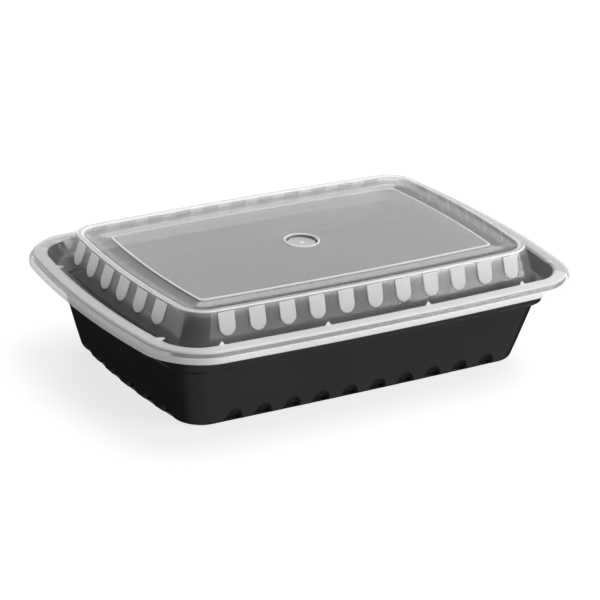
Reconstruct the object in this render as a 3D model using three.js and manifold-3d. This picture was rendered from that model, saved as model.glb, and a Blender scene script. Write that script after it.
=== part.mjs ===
// Rectangular takeaway meal container, shut and empty: a black tray with a clear lid pressed over its rim.
// Millimetres, +X along the length, +Y along the width, +Z up.
// The origin is the middle of the footprint, on the surface that the tray stands on.
import * as THREE from "three";
import { mergeVertices } from "three/addons/utils/BufferGeometryUtils.js";
import Module from "manifold-3d";

const wasm = await Module();
wasm.setup();

// Driving sizes
const LENGTH = 222; // over the lid's skirt, from side middle to side middle
const WIDTH = 152.8;
const LID_WALL = 0.6;
const TRAY_WALL = 0.8;
const FIT_GAP = 0.35; // between the lid and the tray's rim

// Heights above the table
const LEDGE_Z = 29.7; // lower edge of the tray's stacking band
const SKIRT_Z = 39.3; // lower edge of the lid's skirt
const RIM_Z = 43.9; // crown of the lid's rim
const CHANNEL_Z = 38; // floor of the channel between rim and dome
const CREST_Z = 53.75; // narrow ridge round the top of the dome
const VALLEY_Z = 52; // foot of the slope inside the ridge
const PANEL_Z = 52.6; // flat middle panel

// Distances inwards from the skirt, seen from above
const RIM_INNER = 7.95; // inner edge of the rim
const CHANNEL_INNER = 14.2;
const CREST = 21.1;
const PANEL = 34.2;
const LEDGE = 14.4; // lower edge of the band
const BAND_STEP = 2; // how far the wall lies inside the band
const BASE = 22.7; // foot of the wall

// Bars moulded on the dome's wall, recesses along the tray's lower edge and lugs inside the rim
// Each row has its number, its spacing and how far it is moved along the long and along the short sides.
const BARS = { long: { count: 11, pitch: 14.5, shift: 1.15 }, short: { count: 6, pitch: 14.5, shift: 1.4 } };
const RECESSES = { long: { count: 10, pitch: 14.5, shift: 1.1 }, short: { count: 6, pitch: 14.5, shift: 0 } };
const LUGS = { long: { count: 4, pitch: 50.7, shift: -3 }, short: { count: 2, pitch: 88, shift: -6.8 } };
const BAR_WIDTH = 7.6;
const BAR_LOW_Z = 43.3;
const BAR_HIGH_Z = 52.3;
const BAR_RELIEF = 0.5;
const RECESS = new THREE.Vector3(4, 2.4, 5.6); // half width, depth and height
const LUG = { width: 4.4, reach: 2, height: 0.8 };
const GATE = { radius: 8, lip: 0.4, depth: 0.9, pip: 1.2 };

// Steps round an outline
const LONG_STEPS = 4;
const SHORT_STEPS = 6;
const CORNER_STEPS = 5;

// Corner radius, and the bow of the short and of the long sides, at distances inwards from the skirt
const LID_FORM = [
  [0, 22.9, 7.2, 2.8],
  [8, 13.2, 6.5, 2.8],
  [20.2, 10.4, 4.4, 2],
  [34.2, 2, 2.3, 1.8],
];
const TRAY_FORM = [
  [0, 22.9, 7.2, 2.8],
  [7, 14.4, 6.6, 2.8],
  [13, 12.6, 2.6, 0.1],
  [14.4, 12.6, 2.6, 0.1],
  [22.7, 10, 3.9, 0.9],
];

// Reads a form at one inset, along straight lines between its rows.
function formAt(form, inset) {
  const after = Math.max(1, form.findIndex((row) => row[0] > inset));
  const high = form[inset >= form.at(-1)[0] ? form.length - 1 : after];
  const low = form[form.indexOf(high) - 1];
  const share = THREE.MathUtils.clamp((inset - low[0]) / (high[0] - low[0]), 0, 1);
  const [radius, bowX, bowY] = [1, 2, 3].map((i) => THREE.MathUtils.lerp(low[i], high[i], share));
  return { radius, bowX, bowY };
}

// Draws the sides of a rectangle inwards towards its corners.
function bowed(x, y, halfX, halfY, { bowX, bowY }) {
  return [x * (1 - (bowX / halfX) * (y / halfY) ** 2), y * (1 - (bowY / halfY) * (x / halfX) ** 2)];
}

// One level of the container: a rectangle with round corners and bowed sides, anticlockwise from above.
function outline(form, inset, z) {
  const halfX = LENGTH / 2 - inset;
  const halfY = WIDTH / 2 - inset;
  const row = formAt(form, inset);
  const x = halfX - row.radius;
  const y = halfY - row.radius;
  const quarters = [
    { at: [x, -y], turn: -1, side: [-x, -halfY, x, -halfY], steps: LONG_STEPS },
    { at: [x, y], turn: 0, side: [halfX, -y, halfX, y], steps: SHORT_STEPS },
    { at: [-x, y], turn: 1, side: [x, halfY, -x, halfY], steps: LONG_STEPS },
    { at: [-x, -y], turn: 2, side: [-halfX, y, -halfX, -y], steps: SHORT_STEPS },
  ];
  const points = [];
  for (const { at, turn, side, steps } of quarters) {
    for (let i = 0; i < steps; i++) {
      const share = i / steps;
      points.push([side[0] + (side[2] - side[0]) * share, side[1] + (side[3] - side[1]) * share]);
    }
    for (let i = 0; i < CORNER_STEPS; i++) {
      const angle = (turn + i / CORNER_STEPS) * (Math.PI / 2);
      points.push([at[0] + row.radius * Math.cos(angle), at[1] + row.radius * Math.sin(angle)]);
    }
  }
  return points.map(([px, py]) => [...bowed(px, py, halfX, halfY, row), z]);
}

// Moves a profile of [inset, z] sideways by a wall's thickness: to its left if positive.
function offset(profile, distance) {
  const normals = profile.slice(1).map(([inset, z], i) => {
    const along = new THREE.Vector2(inset - profile[i][0], z - profile[i][1]).normalize();
    return new THREE.Vector2(-along.y, along.x);
  });
  return profile.map(([inset, z], i) => {
    const before = normals[Math.max(i - 1, 0)];
    const after = normals[Math.min(i, normals.length - 1)];
    const mean = before.clone().add(after).normalize();
    const reach = distance / Math.max(mean.dot(after), 0.5);
    return [inset + mean.x * reach, z + mean.y * reach];
  });
}

// Closed body from outlines that run from the middle of its top, over its edge, to the middle of its underside.
function body(rings) {
  const count = rings[0].length;
  const positions = rings.flat(2);
  const index = [];
  for (let ring = 0; ring + 1 < rings.length; ring++) {
    for (let i = 0; i < count; i++) {
      const next = (i + 1) % count;
      const [a, b] = [ring * count + i, ring * count + next];
      index.push(a, a + count, b + count, a, b + count, b);
    }
  }
  const top = positions.length / 3;
  const last = (rings.length - 1) * count;
  positions.push(0, 0, rings[0][0][2], 0, 0, rings.at(-1)[0][2]);
  for (let i = 0; i < count; i++) {
    const next = (i + 1) % count;
    index.push(top, i, next, top + 1, last + next, last + i);
  }
  const geometry = new THREE.BufferGeometry();
  geometry.setAttribute("position", new THREE.Float32BufferAttribute(positions, 3));
  geometry.setIndex(index);
  return solid(geometry);
}

// Geometry to solid, and back.
function solid(geometry) {
  const bare = geometry.clone();
  bare.deleteAttribute("normal");
  bare.deleteAttribute("uv");
  const merged = mergeVertices(bare, 1e-4);
  return new wasm.Manifold(
    new wasm.Mesh({
      numProp: 3,
      vertProperties: new Float32Array(merged.attributes.position.array),
      triVerts: new Uint32Array(merged.index.array),
    }),
  );
}

function geometryOf(made) {
  const { numProp, vertProperties, triVerts } = made.getMesh();
  const positions = new Float32Array((vertProperties.length / numProp) * 3);
  for (let i = 0; i < positions.length / 3; i++) {
    positions.set(vertProperties.subarray(i * numProp, i * numProp + 3), i * 3);
  }
  const geometry = new THREE.BufferGeometry();
  geometry.setAttribute("position", new THREE.BufferAttribute(positions, 3));
  geometry.setIndex(new THREE.BufferAttribute(new Uint32Array(triVerts), 1));
  geometry.computeVertexNormals();
  return geometry;
}

// Matrices that stand a small feature on each side: its X along the side, its Y inwards and its Z up.
// A row on one side is moved the same way as the row across from it.
function placesRound(form, inset, z, rows) {
  const halfX = LENGTH / 2 - inset;
  const halfY = WIDTH / 2 - inset;
  const row = formAt(form, inset);
  const places = [];
  for (const { count, pitch, shift, half, across, bow, turn } of [
    { ...rows.long, half: halfX, across: halfY, bow: row.bowY, turn: 0 },
    { ...rows.short, half: halfY, across: halfX, bow: row.bowX, turn: Math.PI / 2 },
  ]) {
    for (let i = 0; i < count; i++) {
      for (const side of [1, -1]) {
        const along = (i - (count - 1) / 2) * pitch + side * shift;
        const lean = Math.atan2(2 * bow * along, half ** 2);
        const out = across - bow * (along / half) ** 2;
        const place = new THREE.Matrix4().makeRotationZ(side > 0 ? turn : turn + Math.PI);
        place.multiply(new THREE.Matrix4().makeTranslation(along, -out, z));
        place.multiply(new THREE.Matrix4().makeRotationZ(lean));
        places.push(place);
      }
    }
  }
  return places;
}

function copies(geometry, places) {
  return places.map((place) => solid(geometry.clone().applyMatrix4(place)));
}

// Tray: an even wall from the rolled rim, under the flange and down the band to the raised middle of the base.
function trayBody() {
  const flange = RIM_Z - LID_WALL - FIT_GAP - TRAY_WALL;
  const lip = 2.9;
  const under = [
    [lip, 40.4],
    [lip, flange - 0.6],
    [lip + 0.6, flange],
    [6.1, flange],
    [7, flange - 0.6],
    [10.9, 37.4],
    [12, 35.8],
    [LEDGE - 0.3, LEDGE_Z + 0.8],
    [LEDGE + 0.3, LEDGE_Z],
    [LEDGE + BAND_STEP - 0.3, LEDGE_Z - 0.3],
    [LEDGE + BAND_STEP + 0.1, LEDGE_Z - 1.2],
    [BASE, 1.9],
    [BASE + 0.7, 0.5],
    [BASE + 2.3, 0],
    [BASE + 6, 0],
    [BASE + 7.2, 0.9],
  ];
  const inside = offset(under, TRAY_WALL);
  const level = ([inset, z]) => outline(TRAY_FORM, inset, z);
  const shell = body([...inside.toReversed().map(level), ...under.map(level)]);
  const envelope = body([outline(TRAY_FORM, 8, flange), ...under.slice(4).map(level)]);
  return { shell, envelope };
}

// Round-topped recesses along the lower edge, which bulge into the tray.
function tray() {
  const { shell, envelope } = trayBody();
  const places = placesRound(TRAY_FORM, BASE, 0, RECESSES);
  const grown = RECESS.clone().addScalar(TRAY_WALL);
  const bulge = new THREE.SphereGeometry(1, 8, 3).scale(...grown);
  const bulges = copies(bulge, places).map((made) => made.intersect(envelope));
  const cuts = copies(new THREE.SphereGeometry(1, 12, 3).scale(...RECESS), places);
  return wasm.Manifold.union([shell, ...bulges]).subtract(wasm.Manifold.union(cuts));
}

// Lid: an even wall from the skirt's bead, over the rim, down the channel and up the dome to the middle panel.
function lidShell() {
  const over = [
    [0.25, SKIRT_Z],
    [0, SKIRT_Z + 0.6],
    [0, SKIRT_Z + 2.3],
    [1.05, SKIRT_Z + 2.9],
    [1.1, SKIRT_Z + 3.5],
    [1.9, RIM_Z - 0.25],
    [3.5, RIM_Z],
    [6.6, RIM_Z - 0.1],
    [RIM_INNER, RIM_Z - 0.65],
    [RIM_INNER + 0.65, RIM_Z - 1.4],
    [CHANNEL_INNER - 1.9, CHANNEL_Z + 0.5],
    [CHANNEL_INNER - 1.2, CHANNEL_Z],
    [CHANNEL_INNER, CHANNEL_Z],
    [CHANNEL_INNER + 0.8, CHANNEL_Z + 0.6],
    [CREST - 1.5, CREST_Z - 0.75],
    [CREST - 0.8, CREST_Z],
    [CREST + 0.8, CREST_Z],
    [CREST + 2.1, CREST_Z - 0.8],
    [26, VALLEY_Z + 0.3],
    [PANEL - 0.6, VALLEY_Z],
    [PANEL, PANEL_Z],
  ];
  const level = ([inset, z]) => outline(LID_FORM, inset, z);
  return body([...over.toReversed().map(level), ...offset(over, -LID_WALL).map(level)]);
}

// A bar on the dome's wall: straight sides, a round lower end, and as long as the wall allows.
function barGeometry(lean) {
  const half = BAR_WIDTH / 2;
  const length = (BAR_HIGH_Z - BAR_LOW_Z) / Math.cos(lean);
  const shape = new THREE.Shape();
  shape.moveTo(half, length);
  shape.lineTo(-half, length);
  shape.lineTo(-half, half);
  shape.absarc(0, half, half, Math.PI, 2 * Math.PI, false);
  shape.closePath();
  const depth = BAR_RELIEF + LID_WALL / 2;
  const plate = new THREE.ExtrudeGeometry(shape, { depth, bevelEnabled: false, curveSegments: 4 });
  return plate.translate(0, 0, -LID_WALL / 2).rotateX(Math.PI / 2 - lean);
}

// Small pointed lug inside the rim.
function lugGeometry() {
  const shape = new THREE.Shape();
  shape.moveTo(-LUG.width / 2, -0.2);
  shape.lineTo(LUG.width / 2, -0.2);
  shape.lineTo(LUG.width / 2, 0);
  shape.lineTo(0, LUG.reach);
  shape.lineTo(-LUG.width / 2, 0);
  shape.closePath();
  const lug = new THREE.ExtrudeGeometry(shape, { depth: LUG.height, bevelEnabled: false });
  return lug.translate(0, 0, -LUG.height);
}

// Round moulding mark in the middle of the panel: a dish with a thin lip and a pip.
function gateGeometry() {
  const { radius, lip, depth, pip } = GATE;
  const floorZ = PANEL_Z - depth;
  const profile = [
    [0, floorZ - LID_WALL],
    [radius - 1.4, floorZ - LID_WALL],
    [radius + 0.4, PANEL_Z - LID_WALL + 0.1],
    [radius + 0.4, PANEL_Z],
    [radius, PANEL_Z + lip],
    [radius - 0.6, PANEL_Z + lip],
    [radius - 0.9, PANEL_Z],
    [radius - 1.4, floorZ],
    [pip, floorZ],
    [pip * 0.6, floorZ + 0.4],
    [0, floorZ + 0.4],
  ];
  const turned = new THREE.LatheGeometry(profile.map(([r, z]) => new THREE.Vector2(r, z)), 24);
  return turned.rotateX(Math.PI / 2);
}

function lid() {
  const wallFoot = CHANNEL_INNER + 0.8;
  const wallFootZ = CHANNEL_Z + 0.6;
  const lean = Math.atan2(CREST - 1.5 - wallFoot, CREST_Z - 0.75 - wallFootZ);
  const barInset = wallFoot + (BAR_LOW_Z - wallFootZ) * Math.tan(lean);
  const bars = placesRound(LID_FORM, barInset, BAR_LOW_Z, BARS);
  const lugs = placesRound(LID_FORM, RIM_INNER, RIM_Z - 0.6, LUGS);
  const hole = new THREE.CylinderGeometry(GATE.radius - 0.2, GATE.radius - 0.2, 2, 24).rotateX(Math.PI / 2);
  return wasm.Manifold.union([
    lidShell().subtract(solid(hole.translate(0, 0, PANEL_Z))),
    ...copies(barGeometry(lean), bars),
    ...copies(lugGeometry(), lugs),
    solid(gateGeometry()),
  ]);
}

const blackPlastic = new THREE.MeshStandardMaterial({ color: 0x0c0c0d, roughness: 0.28, metalness: 0 });
const clearPlastic = new THREE.MeshStandardMaterial({
  color: 0xe6e8ea,
  roughness: 0.22,
  metalness: 0,
  transparent: true,
  opacity: 0.45,
});

const container = new THREE.Group();
for (const [name, made, material] of [
  ["tray", tray(), blackPlastic],
  ["lid", lid(), clearPlastic],
]) {
  const mesh = new THREE.Mesh(geometryOf(made), material);
  mesh.name = name;
  container.add(mesh);
}

export default container;
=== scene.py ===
import math

import bmesh
import bpy
from mathutils import Matrix, Vector


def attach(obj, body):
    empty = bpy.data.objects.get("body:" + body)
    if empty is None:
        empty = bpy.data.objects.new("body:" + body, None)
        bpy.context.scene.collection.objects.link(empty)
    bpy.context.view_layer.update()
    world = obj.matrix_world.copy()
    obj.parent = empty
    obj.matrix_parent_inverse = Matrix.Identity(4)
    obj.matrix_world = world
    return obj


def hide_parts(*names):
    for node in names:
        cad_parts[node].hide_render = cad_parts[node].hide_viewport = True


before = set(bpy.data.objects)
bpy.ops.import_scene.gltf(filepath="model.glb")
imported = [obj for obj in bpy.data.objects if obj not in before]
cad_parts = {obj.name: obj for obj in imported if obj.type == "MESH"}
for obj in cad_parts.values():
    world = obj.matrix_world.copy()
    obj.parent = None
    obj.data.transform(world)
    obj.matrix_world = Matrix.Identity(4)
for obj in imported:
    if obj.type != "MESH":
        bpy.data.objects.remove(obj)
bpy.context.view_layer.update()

# The camera stands before the container's left front corner and looks down on it through a long lens.
camera_data = bpy.data.cameras.new("camera")
camera_data.lens = 158.5
camera_place = Vector((-0.58867, -0.91946, 0.47836))
camera_azimuth, camera_elevation, camera_roll = (math.radians(angle) for angle in (-32.655, 22.597, 2.721))
towards_camera = Vector((
    math.sin(camera_azimuth) * math.cos(camera_elevation),
    -math.cos(camera_azimuth) * math.cos(camera_elevation),
    math.sin(camera_elevation),
))
camera = bpy.data.objects.new("camera", camera_data)
camera.matrix_world = (
    Matrix.Translation(camera_place)
    @ towards_camera.to_track_quat("Z", "Y").to_matrix().to_4x4()
    @ Matrix.Rotation(camera_roll, 4, "Z")
)
bpy.context.scene.collection.objects.link(camera)
bpy.context.scene.camera = camera

# Pale floor that is lit from below like a light table, under a wide soft light overhead and weaker ones
# from the sides. The room is grey above and, below the horizon, pale in front and dark behind. Glossy
# surfaces don't mirror the floor, and the left light shows on them alone.
floor_mesh = bmesh.new()
bmesh.ops.create_grid(floor_mesh, x_segments=1, y_segments=1, size=4)
floor_data = bpy.data.meshes.new("floor")
floor_mesh.to_mesh(floor_data)
floor_mesh.free()
floor = bpy.data.objects.new("floor", floor_data)
bpy.context.scene.collection.objects.link(floor)
floor_paint = bpy.data.materials.new("floor_paint")
floor_paint.use_nodes = True
floor_shader = floor_paint.node_tree.nodes["Principled BSDF"]
floor_place = floor_paint.node_tree.nodes.new("ShaderNodeTexCoord")
floor_clouds = floor_paint.node_tree.nodes.new("ShaderNodeTexNoise")
floor_clouds.inputs["Scale"].default_value = 6
floor_paint.node_tree.links.new(floor_place.outputs["Object"], floor_clouds.inputs["Vector"])
floor_tint = floor_paint.node_tree.nodes.new("ShaderNodeValToRGB")
floor_tint.color_ramp.elements[0].color = (0.3, 0.3, 0.3, 1)
floor_tint.color_ramp.elements[1].color = (0.33, 0.33, 0.33, 1)
floor_paint.node_tree.links.new(floor_clouds.outputs["Fac"], floor_tint.inputs["Fac"])
floor_paint.node_tree.links.new(floor_tint.outputs["Color"], floor_shader.inputs["Base Color"])
floor_shader.inputs["Emission Color"].default_value = (1, 1, 1, 1)
floor_shader.inputs["Emission Strength"].default_value = 0.75
floor_shader.inputs["Roughness"].default_value = 0.7
floor.visible_glossy = False
floor_data.materials.append(floor_paint)

for name, place, aim, width, height, watts in (
    ("overhead_light", (0.6, 0.2, 1.5), (0, 0, 0), 1.6, 1.6, 26),
    ("front_light", (1.34, -1.2, 0.36), (0, 0, 0.04), 1, 0.6, 22),
    ("fill_light", (0.7, -1.7, 0.34), (0, 0, 0.04), 0.75, 0.6, 5),
    ("left_light", (-1.4, 1.2, 0.2), (0, 0, 0.04), 3.6, 0.8, 18),
    ("back_light", (1.1, 1.7, 0.95), (0, 0, 0.04), 1.6, 0.9, 6),
):
    light_data = bpy.data.lights.new(name, "AREA")
    light_data.shape = "RECTANGLE"
    light_data.size = width
    light_data.size_y = height
    light_data.energy = watts
    light = bpy.data.objects.new(name, light_data)
    light.location = place
    light.rotation_euler = (Vector(place) - Vector(aim)).to_track_quat("Z", "Y").to_euler()
    light.visible_camera = False
    light.visible_diffuse = name != "left_light"
    bpy.context.scene.collection.objects.link(light)

room = bpy.data.worlds.new("room")
room.use_nodes = True
room_nodes, room_links = room.node_tree.nodes, room.node_tree.links
room_way = room_nodes.new("ShaderNodeTexCoord")
room_axes = room_nodes.new("ShaderNodeSeparateXYZ")
room_links.new(room_way.outputs["Generated"], room_axes.inputs["Vector"])
room_front = room_nodes.new("ShaderNodeMapRange")
room_front.inputs["From Min"].default_value = 0.1
room_front.inputs["From Max"].default_value = -0.3
room_front.inputs["To Min"].default_value = 0.01
room_front.inputs["To Max"].default_value = 0.45
room_links.new(room_axes.outputs["Y"], room_front.inputs["Value"])
room_above = room_nodes.new("ShaderNodeMath")
room_above.operation = "GREATER_THAN"
room_above.inputs[1].default_value = 0
room_links.new(room_axes.outputs["Z"], room_above.inputs[0])
room_grey = room_nodes.new("ShaderNodeMapRange")
room_grey.inputs["To Max"].default_value = 0.3
room_links.new(room_above.outputs["Value"], room_grey.inputs["Value"])
room_links.new(room_front.outputs["Result"], room_grey.inputs["To Min"])
room_links.new(room_grey.outputs["Result"], room_nodes["Background"].inputs["Strength"])
room_nodes["Background"].inputs["Color"].default_value = (1, 1, 1, 1)
bpy.context.scene.world = room
bpy.context.scene.view_settings.view_transform = "Standard"

# Tray: one thin sheet of black plastic, formed with a rolled rim for the lid to press over, a stepped
# band below it, a wall that leans outwards, round-topped recesses along its foot and a base that is
# raised inside a flat ring.
MM = 0.001
LENGTH = 222
WIDTH = 152.8
PITCH = 14.5
FOOT_INSET = 22.7
CORNER_STEPS = 12
SHORT_SIDE_CUTS, LONG_SIDE_CUTS = 15, 23
WALL_TOP, WALL_FOOT = (20.75, 9), (22.85, 0)

# A form's rows: how far in from the lid's skirt, the corners' radius there, and the bows of the short and
# the long sides. A profile's rows: how far in, how high, how far the corner's rounding reaches, and haze
# with painted light: on the lid the bright edges of the crest and the panel are painted highlights.
TRAY_FORM = (
    (0, 22.9, 7.2, 2.8),
    (7, 14.4, 6.6, 2.8),
    (13, 12.6, 2.6, 0.1),
    (14.4, 12.6, 2.6, 0.1),
    (FOOT_INSET, 10, 3.9, 0.9),
)
TRAY_PROFILE = (
    (2.9, 40.4, 0, 0),
    (2.9, 42.18, 0.7, 0),
    (6.6, 42.1, 0.9, 0),
    (11.3, 37, 1.6, 0),
    (14.36, 30.05, 0.1, 0),
    (14.12, 29.78, 0.12, 0),
    (14.4, 29.45, 0.1, 0),
    (16.3, 29.35, 0.45, 0),
    (*WALL_TOP, 0, 0),
    (*WALL_FOOT, 1.9, 0),
    (28.9, 0.06, 0.5, 0),
    (30, 0.9, 0.5, 0),
    (31, 0.96, 0, 0),
)


def form_at(form, inset):
    """Corner radius and the bows of the short and long sides, so far inwards from the lid's skirt."""
    for low, high in zip(form, form[1:]):
        if inset <= high[0] or high is form[-1]:
            share = min(max((inset - low[0]) / (high[0] - low[0]), 0), 1)
            return [a + (b - a) * share for a, b in zip(low[1:], high[1:])]


def rounded(profile, steps=4):
    """A profile of (inset, height, reach, haze with painted light) with each corner turned into an arc of
    that reach.
    """
    points = []
    for i, (inset, height, reach, haze_and_light) in enumerate(profile):
        corner = Vector((inset, height))
        if not reach:
            points.append((*corner, haze_and_light))
            continue
        start = corner + (Vector(profile[i - 1][:2]) - corner).normalized() * reach
        end = corner + (Vector(profile[i + 1][:2]) - corner).normalized() * reach
        for step in range(steps + 1):
            share = step / steps
            points.append((*start.lerp(corner, share).lerp(corner.lerp(end, share), share), haze_and_light))
    return points


def level(mesh, form, inset, height):
    """One outline of the shell: a rectangle with its corners rounded by a bevel and its sides bowed."""
    half_x, half_y = LENGTH / 2 - inset, WIDTH / 2 - inset
    radius, bow_x, bow_y = form_at(form, inset)
    place = Matrix.Translation((0, 0, height)) @ Matrix.Diagonal((half_x, half_y, 1, 1))
    before = set(mesh.edges)
    corners = bmesh.ops.create_grid(mesh, x_segments=1, y_segments=1, size=1, matrix=place)["verts"]
    bmesh.ops.bevel(mesh, geom=corners, offset=radius, offset_type="OFFSET", segments=CORNER_STEPS,
                    profile=0.5, affect="VERTICES", material=-1)
    outline = [edge for edge in mesh.edges if edge not in before]
    sides = sorted(outline, key=lambda edge: edge.calc_length())[-4:]
    bmesh.ops.delete(mesh, geom=list(sides[0].link_faces), context="FACES_ONLY")
    bmesh.ops.subdivide_edges(mesh, edges=sides[2:], cuts=LONG_SIDE_CUTS)
    bmesh.ops.subdivide_edges(mesh, edges=sides[:2], cuts=SHORT_SIDE_CUTS)
    loop = [edge for edge in mesh.edges if edge not in before]
    for vert in {vert for edge in loop for vert in edge.verts}:
        x, y = vert.co.x, vert.co.y
        vert.co.x = x * (1 - bow_x / half_x * (y / half_y) ** 2)
        vert.co.y = y * (1 - bow_y / half_y * (x / half_x) ** 2)
    return loop


def sheet(mesh, form, profile):
    """Bridges the outlines of a profile and gives back the last one. Each vertex keeps its haze, with its
    painted light, and its inset.
    """
    haze_and_light = mesh.verts.layers.float.new("haze_and_light")
    from_skirt = mesh.verts.layers.float.new("from_skirt")
    loop = None
    for inset, height, milk_and_light in profile:
        following = level(mesh, form, inset, height)
        for vert in {vert for edge in following for vert in edge.verts}:
            vert[haze_and_light] = milk_and_light
            vert[from_skirt] = inset
        if loop:
            bmesh.ops.bridge_loops(mesh, edges=loop + following)
        loop = following
    return loop


def finished(name, mesh, material, wall=0):
    """Turns the millimetre mesh into an object in metres, with its wall, if any, on the inside."""
    bmesh.ops.scale(mesh, vec=(MM, MM, MM), verts=mesh.verts)
    for face in mesh.faces:
        face.smooth = True
    data = bpy.data.meshes.new(name)
    mesh.to_mesh(data)
    mesh.free()
    data.materials.append(material)
    piece = bpy.data.objects.new(name, data)
    bpy.context.scene.collection.objects.link(piece)
    if wall:
        thick = piece.modifiers.new("wall", "SOLIDIFY")
        thick.thickness = wall * MM
        thick.offset = -1
    evened = piece.modifiers.new("evened", "WEIGHTED_NORMAL")
    evened.mode = "FACE_AREA"
    evened.weight = 50
    evened.keep_sharp = True
    return piece


tray_mesh = bmesh.new()
foot_loop = sheet(tray_mesh, TRAY_FORM, rounded(TRAY_PROFILE))
bmesh.ops.edgeloop_fill(tray_mesh, edges=foot_loop)
tray_mesh.faces.ensure_lookup_table()
bmesh.ops.recalc_face_normals(tray_mesh, faces=tray_mesh.faces)
tray_mesh.normal_update()
if min(tray_mesh.faces, key=lambda face: face.calc_center_median().length).normal.z > 0:
    bmesh.ops.reverse_faces(tray_mesh, faces=tray_mesh.faces)

# The wall's foot gets a fine grid, and the recesses are pressed into it. Points near an arch's edge move
# onto it, those inside it sink to a slanted floor, and the foot's lowest rounding stays.
FOOT_TOP = WALL_TOP[1] + 0.1
FOOT_END = 26.5
RING_TOP = 0.5
UPRIGHT_CUTS, LEVEL_CUTS = 12, 9
LONG_UPRIGHT, LONG_LEVEL = 3, 2.5
RECESSES_LONG, RECESSES_SHORT = 10, 6
RECESS_HALF_WIDTH, RECESS_DEPTH, RECESS_HEIGHT, RECESS_SHIFT = 4.3, 3.2, 6.5, 1.1
LIP = 0.1
KEPT_HEIGHT = 0.3
WALL_SLOPE = (WALL_FOOT[0] - WALL_TOP[0]) / WALL_TOP[1]

half_x, half_y = LENGTH / 2 - FOOT_INSET, WIDTH / 2 - FOOT_INSET
_, bow_x, bow_y = form_at(TRAY_FORM, FOOT_INSET)


def in_foot(edge):
    """Whether both ends lie between the wall's lower part and the base's flat ring."""
    return all(
        vert.co.z < FOOT_TOP
        and (
            vert.co.z > RING_TOP
            or WIDTH / 2 - abs(vert.co.y) < FOOT_END
            or LENGTH / 2 - abs(vert.co.x) < FOOT_END + bow_x
        )
        for vert in edge.verts
    )


def rise(edge):
    """How much higher one end of an edge is than the other."""
    return abs(edge.verts[0].co.z - edge.verts[1].co.z)


upright_edges = [edge for edge in tray_mesh.edges
                 if in_foot(edge) and edge.calc_length() > LONG_UPRIGHT and rise(edge) > 1]
bmesh.ops.subdivide_edges(tray_mesh, edges=upright_edges, cuts=UPRIGHT_CUTS)
level_edges = [edge for edge in tray_mesh.edges
               if in_foot(edge) and edge.calc_length() > LONG_LEVEL and rise(edge) < 0.01]
bmesh.ops.subdivide_edges(tray_mesh, edges=level_edges, cuts=LEVEL_CUTS)
for vert in tray_mesh.verts:
    for axis, half, side, bow, count, shift in (
        (1, half_x, half_y, bow_y, RECESSES_LONG, RECESS_SHIFT),
        (0, half_y, half_x, bow_x, RECESSES_SHORT, 0),
    ):
        along, across, up = vert.co[1 - axis], vert.co[axis], vert.co.z
        middle = (round((along - shift) / PITCH - 0.5) + 0.5) * PITCH + shift
        foot = side - bow * (along / half) ** 2
        past_row = abs(middle - shift) > count / 2 * PITCH
        if up < KEPT_HEIGHT or past_row or abs(across) < foot - RECESS_DEPTH:
            continue
        share = math.hypot((along - middle) / RECESS_HALF_WIDTH, up / RECESS_HEIGHT)
        if 1 - LIP < share < 1 + LIP:
            vert.co[1 - axis] = middle + (along - middle) / share
            vert.co.z = up / share
            vert.co[axis] = across + math.copysign((vert.co.z - up) * WALL_SLOPE, across)
        elif share <= 1 - LIP:
            slant = (RECESS_DEPTH + WALL_SLOPE * RECESS_HEIGHT) * up / RECESS_HEIGHT
            vert.co[axis] = math.copysign(min(abs(across), foot - RECESS_DEPTH + slant), across)

black_plastic = bpy.data.materials.new("black_plastic")
black_plastic.use_nodes = True
black_nodes, black_links = black_plastic.node_tree.nodes, black_plastic.node_tree.links
black_shader = black_nodes["Principled BSDF"]
black_shader.inputs["Specular IOR Level"].default_value = 0.3
black_place = black_nodes.new("ShaderNodeTexCoord")
black_clouds = black_nodes.new("ShaderNodeTexNoise")
black_clouds.inputs["Scale"].default_value = 60
black_clouds.inputs["Detail"].default_value = 5
black_links.new(black_place.outputs["Object"], black_clouds.inputs["Vector"])
black_tint = black_nodes.new("ShaderNodeValToRGB")
black_tint.color_ramp.elements[0].position = 0.3
black_tint.color_ramp.elements[0].color = (0.009, 0.009, 0.0095, 1)
black_tint.color_ramp.elements[1].position = 0.7
black_tint.color_ramp.elements[1].color = (0.011, 0.011, 0.0115, 1)
black_links.new(black_clouds.outputs["Fac"], black_tint.inputs["Fac"])
black_links.new(black_tint.outputs["Color"], black_shader.inputs["Base Color"])
black_gloss = black_nodes.new("ShaderNodeMapRange")
black_gloss.inputs["To Min"].default_value = 0.23
black_gloss.inputs["To Max"].default_value = 0.29
black_links.new(black_clouds.outputs["Fac"], black_gloss.inputs["Value"])
black_links.new(black_gloss.outputs["Result"], black_shader.inputs["Roughness"])
black_ripple = black_nodes.new("ShaderNodeTexNoise")
black_ripple.inputs["Scale"].default_value = 700
black_ripple.inputs["Detail"].default_value = 2
black_links.new(black_place.outputs["Object"], black_ripple.inputs["Vector"])
black_bump = black_nodes.new("ShaderNodeBump")
black_bump.inputs["Strength"].default_value = 0.12
black_bump.inputs["Distance"].default_value = 0.0001
black_links.new(black_ripple.outputs["Fac"], black_bump.inputs["Height"])
black_links.new(black_bump.outputs["Normal"], black_shader.inputs["Normal"])
tray = finished("tray_shell", tray_mesh, black_plastic, wall=0.7)
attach(tray, "root")
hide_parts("tray")

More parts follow.
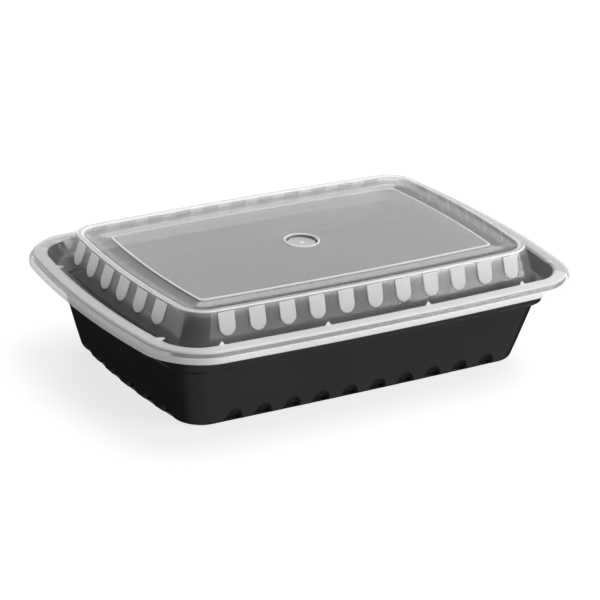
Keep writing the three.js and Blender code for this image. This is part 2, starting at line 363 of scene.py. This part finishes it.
# Lid: one thin sheet of clear, slightly milky plastic, with a bead round its skirt, a rim that grips
# the tray's, a channel, a dome with a narrow crest and a flat panel with sharp corners.
DOME_FOOT, DOME_TOP = (14.81, 38), (19.84, 53.75)
PANEL_Z = 52.6
LID_FORM = ((0, 22.9, 7.2, 2.8), (8, 13.2, 6.5, 2.8), (20.2, 10.4, 4.4, 2), (34.2, 2, 2.3, 1.8))
# The haze column holds painted highlights as well as milkiness: the crest's two rounded edges and the panel's
# raised edge are painted bright, and the crest's middle between them is left clearer.
LID_PROFILE = (
    (0.25, 38.9, 0, 1),
    (0, 39.5, 0.25, 1),
    (0, 41.4, 0.4, 1),
    (1.05, 41.85, 0.3, 0.42),
    (1.1, 42.7, 0.35, 0.42),
    (2, 43.9, 0.7, 0.95),
    (7.6, 43.84, 1, 1.05),
    (8.6, 42.66, 0, 0.9),
    (12.6, 37.95, 0.6, 0.37),
    (*DOME_FOOT, 0.6, 0.28),
    (15.2, 39.2, 0, 0.2),
    (16.5, 43.3, 0, 0.08),
    (17.7, 47, 0, 0),
    (18.9, 50.8, 0, 0.06),
    (19.3, 52.1, 0, 0.25),
    (19.62, 53.1, 0, 0.4),
    (*DOME_TOP, 0.35, 1.1),
    (20.97, 53.73, 0, 0.37),
    (22.1, 53.7, 0.45, 1.05),
    (22.9, 53.2, 0, 0.1),
    (23.9, 52.6, 0.8, 0.05),
    (26.5, 52.25, 1.4, 0.1),
    (28.5, 52.2, 0, 0.52),
    (33.3, 52.05, 0, 0.58),
    (33.8, 52, 0.15, 0.42),
    (34.2, 52.57, 0.15, 1.1),
    (34.85, 52.59, 0, 1.05),
    (35.2, PANEL_Z, 0, 0.4),
)

lid_mesh = bmesh.new()
panel_loop = sheet(lid_mesh, LID_FORM, rounded(LID_PROFILE))

# Light and shade are painted into the haze by side. On the short sides the slopes inside the crest are
# painted clearer and the walls milkier. At both ends the channel is painted clear so it shows dark, and the
# rim's groove is milkier at the tips. The rim's and the crest's painted bright edges are dimmer on the right
# and at the back, and the rim is painted darker towards the left.
GROOVE_START, GROOVE_END, RIM_END = 0.6, 1.3, 8.4
WALL_START, WALL_END, CREST_END = 15, 19.2, 21
SLOPE_START, SLOPE_END = 22.8, 33.9
STRAIGHT_Y, ENDS_X, TIPS_X, LEFT_X = 51, 84, 101, -80
CLEAR, MILKY = 0.5, 0.8

haze_and_light_layer = lid_mesh.verts.layers.float["haze_and_light"]
inset_layer = lid_mesh.verts.layers.float["from_skirt"]
for vert in lid_mesh.verts:
    inset, milk_and_light = vert[inset_layer], vert[haze_and_light_layer]
    x, y = vert.co.xy
    on_short_side = LENGTH / 2 - abs(x) < WIDTH / 2 - abs(y)
    on_edge = milk_and_light > MILKY and (inset < RIM_END or WALL_END < inset < CREST_END)
    if on_short_side and SLOPE_START < inset < SLOPE_END:
        vert[haze_and_light_layer] = 0.36 - 0.38 * milk_and_light
    elif on_short_side and WALL_START < inset < WALL_END and abs(y) < STRAIGHT_Y:
        vert[haze_and_light_layer] = milk_and_light + 0.17
    elif abs(x) > ENDS_X and RIM_END < inset < WALL_START:
        vert[haze_and_light_layer] = 0.05
    elif abs(x) > TIPS_X and GROOVE_START < inset < GROOVE_END and milk_and_light < CLEAR:
        vert[haze_and_light_layer] = 0.9
    elif on_edge and (x if on_short_side else y) > 0:
        vert[haze_and_light_layer] = 0.65 * milk_and_light
    elif on_edge and x < LEFT_X and inset < RIM_END:
        vert[haze_and_light_layer] = milk_and_light * max(0.8, 1 + (x - LEFT_X) / 100)

# The moulding mark in the middle of the panel is a round dish with a thin lip and a pip, in a faint ring.
# A row is its radius, its height above the panel and its haze, in which the lip carries a painted highlight.
MARK = (
    (14.4, 0, 0.4), (14.2, 0.08, 0.6), (14, 0, 0.4), (8.3, 0, 0.4), (8.1, 0.3, 1), (7.7, 0.4, 1.2),
    (7.3, 0.3, 1.1), (7, 0, 0.5), (6.8, -0.7, 0.1), (6.5, -0.88, 0.3), (6.1, -0.9, 0.75), (1.4, -0.9, 0.75),
    (1.1, -0.8, 1), (0.8, -0.55, 1.1), (0.5, -0.5, 1.1), (0, -0.5, 1.1),
)
MARK_RADIUS = MARK[0][0]
mark = [lid_mesh.verts.new((radius, 0, PANEL_Z + above)) for radius, above, milk_and_light in MARK]
for vert, (radius, above, milk_and_light) in zip(mark, MARK):
    vert[haze_and_light_layer] = milk_and_light
mark_edges = [lid_mesh.edges.new(pair) for pair in zip(mark, mark[1:])]
bmesh.ops.spin(lid_mesh, geom=mark + mark_edges, cent=(0, 0, 0), axis=(0, 0, 1), dvec=(0, 0, 0),
               angle=2 * math.pi, steps=64, use_merge=True, use_duplicate=False)
mark_verts = [vert for vert in lid_mesh.verts if vert.co.xy.length < MARK_RADIUS + 1]
bmesh.ops.remove_doubles(lid_mesh, verts=mark_verts, dist=0.001)
mark_loop = [edge for edge in lid_mesh.edges if edge.is_boundary
             and all(abs(vert.co.xy.length - MARK_RADIUS) < 0.01 for vert in edge.verts)]
bmesh.ops.triangle_fill(lid_mesh, edges=panel_loop + mark_loop, use_beauty=True)
bmesh.ops.recalc_face_normals(lid_mesh, faces=lid_mesh.faces)
lid_mesh.normal_update()
if min(lid_mesh.faces, key=lambda face: face.calc_center_median().xy.length).normal.z < 0:
    bmesh.ops.reverse_faces(lid_mesh, faces=lid_mesh.faces)

clear_plastic = bpy.data.materials.new("clear_plastic")
clear_plastic.use_nodes = True
clear_nodes, clear_links = clear_plastic.node_tree.nodes, clear_plastic.node_tree.links
clear_shader = clear_nodes["Principled BSDF"]
clear_shader.inputs["Specular IOR Level"].default_value = 1
clear_place = clear_nodes.new("ShaderNodeTexCoord")
clear_streaks = clear_nodes.new("ShaderNodeMapping")
clear_streaks.inputs["Scale"].default_value = (30, 9, 9)
clear_links.new(clear_place.outputs["Object"], clear_streaks.inputs["Vector"])
clear_clouds = clear_nodes.new("ShaderNodeTexNoise")
clear_clouds.inputs["Scale"].default_value = 1
clear_clouds.inputs["Detail"].default_value = 3
clear_links.new(clear_streaks.outputs["Vector"], clear_clouds.inputs["Vector"])
clear_drift = clear_nodes.new("ShaderNodeMapRange")
clear_drift.inputs["To Min"].default_value = -0.05
clear_drift.inputs["To Max"].default_value = 0.05
clear_links.new(clear_clouds.outputs["Fac"], clear_drift.inputs["Value"])
# The haze attribute, milkiness with painted highlights and painted side shade, sets the film's colour and
# opacity.
clear_haze_and_light = clear_nodes.new("ShaderNodeAttribute")
clear_haze_and_light.attribute_name = "haze_and_light"
clear_sum = clear_nodes.new("ShaderNodeMath")
clear_links.new(clear_haze_and_light.outputs["Fac"], clear_sum.inputs[0])
clear_links.new(clear_drift.outputs["Result"], clear_sum.inputs[1])
for socket, low, high in (("Base Color", 0.3, 0.8), ("Alpha", 0.14, 0.58)):
    clear_range = clear_nodes.new("ShaderNodeMapRange")
    clear_range.clamp = False
    clear_range.inputs["To Min"].default_value = low
    clear_range.inputs["To Max"].default_value = high
    clear_links.new(clear_sum.outputs["Value"], clear_range.inputs["Value"])
    clear_links.new(clear_range.outputs["Result"], clear_shader.inputs[socket])
clear_gloss = clear_nodes.new("ShaderNodeMapRange")
clear_gloss.inputs["To Min"].default_value = 0.08
clear_gloss.inputs["To Max"].default_value = 0.2
clear_links.new(clear_clouds.outputs["Fac"], clear_gloss.inputs["Value"])
clear_matte = clear_nodes.new("ShaderNodeMapRange")
clear_matte.inputs["From Min"].default_value = 0.6
clear_matte.inputs["From Max"].default_value = 0.9
clear_matte.inputs["To Max"].default_value = 0.25
clear_links.new(clear_haze_and_light.outputs["Fac"], clear_matte.inputs["Value"])
clear_rough = clear_nodes.new("ShaderNodeMath")
clear_links.new(clear_gloss.outputs["Result"], clear_rough.inputs[0])
clear_links.new(clear_matte.outputs["Result"], clear_rough.inputs[1])
clear_links.new(clear_rough.outputs["Value"], clear_shader.inputs["Roughness"])

lid = finished("lid_shell", lid_mesh, clear_plastic, wall=0.5)
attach(lid, "root")
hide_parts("lid")

# Bars: frosted tongues of the lid's sheet, square at the top and round at the foot, that stand a little
# proud of the dome's wall and stiffen it, eleven along each long side and six along each short one.
BAR_WIDTH, BAR_LOW, BAR_HIGH, BAR_RELIEF, BAR_ROUND = 7.6, 43.2, 52.7, 0.4, 0.2
BAR_FOOT_STEPS = 10
LONG_BARS, SHORT_BARS = (11, PITCH, 1.15), (6, PITCH, 1.4)
# The bars' frost also holds painted light by side: the back bars are painted fainter and the left ones
# brighter than the rest.
BACK_FROST_AND_LIGHT, LEFT_FROST_AND_LIGHT, OTHER_FROST = 0.3, 0.93, 0.6
BACK_Y, LEFT_END_X = 50, -85
WALL_LEAN = math.atan2(DOME_TOP[0] - DOME_FOOT[0], DOME_TOP[1] - DOME_FOOT[1])


def places_round(inset, height, long_row, short_row):
    """Where a small feature stands along the four sides: its X along the side, its Y inwards.

    A row is its number, its pitch and how far it is moved along X or Y, the same way on both sides.
    """
    half_x, half_y = LENGTH / 2 - inset, WIDTH / 2 - inset
    _, bow_x, bow_y = form_at(LID_FORM, inset)
    for (count, pitch, shift), half, side, bow, turn in (
        (long_row, half_x, half_y, bow_y, 0),
        (short_row, half_y, half_x, bow_x, math.pi / 2),
    ):
        for i in range(count):
            for way in (1, -1):
                along = (i - (count - 1) / 2) * pitch + way * shift
                yield (
                    Matrix.Rotation(turn + (0 if way > 0 else math.pi), 4, "Z")
                    @ Matrix.Translation((along, bow * (along / half) ** 2 - side, height))
                    @ Matrix.Rotation(math.atan2(2 * bow * along, half ** 2), 4, "Z")
                )


bars_mesh = bmesh.new()
frost_and_light = bars_mesh.verts.layers.float.new("frost_and_light")
bar_length = (BAR_HIGH - BAR_LOW) / math.cos(WALL_LEAN)
bar_inset = DOME_FOOT[0] + (BAR_LOW - DOME_FOOT[1]) * math.tan(WALL_LEAN)
for place in places_round(bar_inset, BAR_LOW, LONG_BARS, SHORT_BARS):
    before = set(bars_mesh.verts)
    corners = bmesh.ops.create_grid(
        bars_mesh, x_segments=1, y_segments=1, size=1,
        matrix=Matrix.Translation((0, bar_length / 2, BAR_RELIEF))
        @ Matrix.Diagonal((BAR_WIDTH / 2, bar_length / 2, 1, 1)))["verts"]
    low_corners = [vert for vert in corners if vert.co.y < 0.01]
    bmesh.ops.bevel(bars_mesh, geom=low_corners, offset=BAR_WIDTH / 2 - 0.01, offset_type="OFFSET",
                    segments=BAR_FOOT_STEPS, profile=0.5, affect="VERTICES", material=-1)
    front = next(vert for vert in bars_mesh.verts if vert not in before).link_faces[0]
    bmesh.ops.inset_individual(bars_mesh, faces=[front], thickness=BAR_ROUND, depth=0)
    outer = [vert for vert in bars_mesh.verts if vert not in before and vert not in front.verts]
    for vert in outer:
        vert.co.z -= BAR_ROUND
    border = [edge for edge in bars_mesh.edges if edge.is_boundary and edge.verts[0] in outer]
    walls = bmesh.ops.extrude_edge_only(bars_mesh, edges=border)["geom"]
    low_ring = [item for item in walls if isinstance(item, bmesh.types.BMVert)]
    bmesh.ops.translate(bars_mesh, vec=(0, 0, -BAR_RELIEF), verts=low_ring)
    made = [vert for vert in bars_mesh.verts if vert not in before]
    upright_on_wall = Matrix.Rotation(math.pi / 2 - WALL_LEAN, 4, "X")
    bmesh.ops.transform(bars_mesh, verts=made, matrix=place @ upright_on_wall)
    at_back, at_left = place.translation.y > BACK_Y, place.translation.x < LEFT_END_X
    for vert in made:
        vert[frost_and_light] = BACK_FROST_AND_LIGHT if at_back else LEFT_FROST_AND_LIGHT if at_left else OTHER_FROST
bmesh.ops.recalc_face_normals(bars_mesh, faces=bars_mesh.faces)
frosted_plastic = bpy.data.materials.new("frosted_plastic")
frosted_plastic.use_nodes = True
frosted_nodes, frosted_links = frosted_plastic.node_tree.nodes, frosted_plastic.node_tree.links
frosted_shader = frosted_nodes["Principled BSDF"]
frosted_shader.inputs["Roughness"].default_value = 0.55
# The frost, with its painted side light, sets the bars' opacity.
bar_frost_and_light = frosted_nodes.new("ShaderNodeAttribute")
bar_frost_and_light.attribute_name = "frost_and_light"
frosted_links.new(bar_frost_and_light.outputs["Fac"], frosted_shader.inputs["Alpha"])
frosted_place = frosted_nodes.new("ShaderNodeTexCoord")
frosted_grain = frosted_nodes.new("ShaderNodeTexNoise")
frosted_grain.inputs["Scale"].default_value = 2500
frosted_grain.inputs["Detail"].default_value = 4
frosted_links.new(frosted_place.outputs["Object"], frosted_grain.inputs["Vector"])
frosted_tint = frosted_nodes.new("ShaderNodeValToRGB")
frosted_tint.color_ramp.elements[0].position = 0.3
frosted_tint.color_ramp.elements[0].color = (0.69, 0.7, 0.71, 1)
frosted_tint.color_ramp.elements[1].position = 0.7
frosted_tint.color_ramp.elements[1].color = (0.86, 0.87, 0.88, 1)
frosted_links.new(frosted_grain.outputs["Fac"], frosted_tint.inputs["Fac"])
frosted_links.new(frosted_tint.outputs["Color"], frosted_shader.inputs["Base Color"])
frosted_bump = frosted_nodes.new("ShaderNodeBump")
frosted_bump.inputs["Strength"].default_value = 0.3
frosted_bump.inputs["Distance"].default_value = 0.0002
frosted_links.new(frosted_grain.outputs["Fac"], frosted_bump.inputs["Height"])
frosted_links.new(frosted_bump.outputs["Normal"], frosted_shader.inputs["Normal"])
bars = finished("lid_bars", bars_mesh, frosted_plastic)
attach(bars, "root")

# Lugs: small pointed teeth of the same clear sheet on the rim's inner edge, four along each long side
# and two along each short one. They keep a stacked container from sliding.
LUG_WIDTH, LUG_HEIGHT, LUG_INSET, LUG_Z = 3.4, 0.8, 7.95, 43.3
LUG_FOOT_RADIUS, LUG_TOP_RADIUS = LUG_WIDTH / 1.73, LUG_WIDTH / 2
LONG_LUGS, SHORT_LUGS = (4, 50.7, -3), (2, 88, -6.8)
LUG_RISE = Matrix(((1, 0, 0, 0), (0, 1.4, 0, 0), (0, 0.35, 1, 0), (0, 0, 0, 1)))

lugs_mesh = bmesh.new()
lug_haze = lugs_mesh.verts.layers.float.new("haze_and_light")
for place in places_round(LUG_INSET, LUG_Z, LONG_LUGS, SHORT_LUGS):
    before = set(lugs_mesh.verts)
    tooth = bmesh.ops.create_cone(
        lugs_mesh, cap_ends=True, segments=3,
        radius1=LUG_FOOT_RADIUS, radius2=LUG_TOP_RADIUS, depth=LUG_HEIGHT,
        matrix=LUG_RISE
        @ Matrix.Translation((0, -0.25, LUG_HEIGHT / 2))
        @ Matrix.Rotation(math.pi / 2, 4, "Z"))["verts"]
    tooth_edges = [edge for edge in lugs_mesh.edges if edge.verts[0] in tooth]
    bmesh.ops.bevel(lugs_mesh, geom=tooth_edges, offset=0.08, offset_type="OFFSET", segments=2,
                    profile=0.5, affect="EDGES", material=-1)
    made = [vert for vert in lugs_mesh.verts if vert not in before]
    bmesh.ops.transform(lugs_mesh, matrix=place, verts=made)
    for vert in made:
        vert[lug_haze] = 1
bmesh.ops.recalc_face_normals(lugs_mesh, faces=lugs_mesh.faces)
lugs = finished("lid_lugs", lugs_mesh, clear_plastic)
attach(lugs, "root")
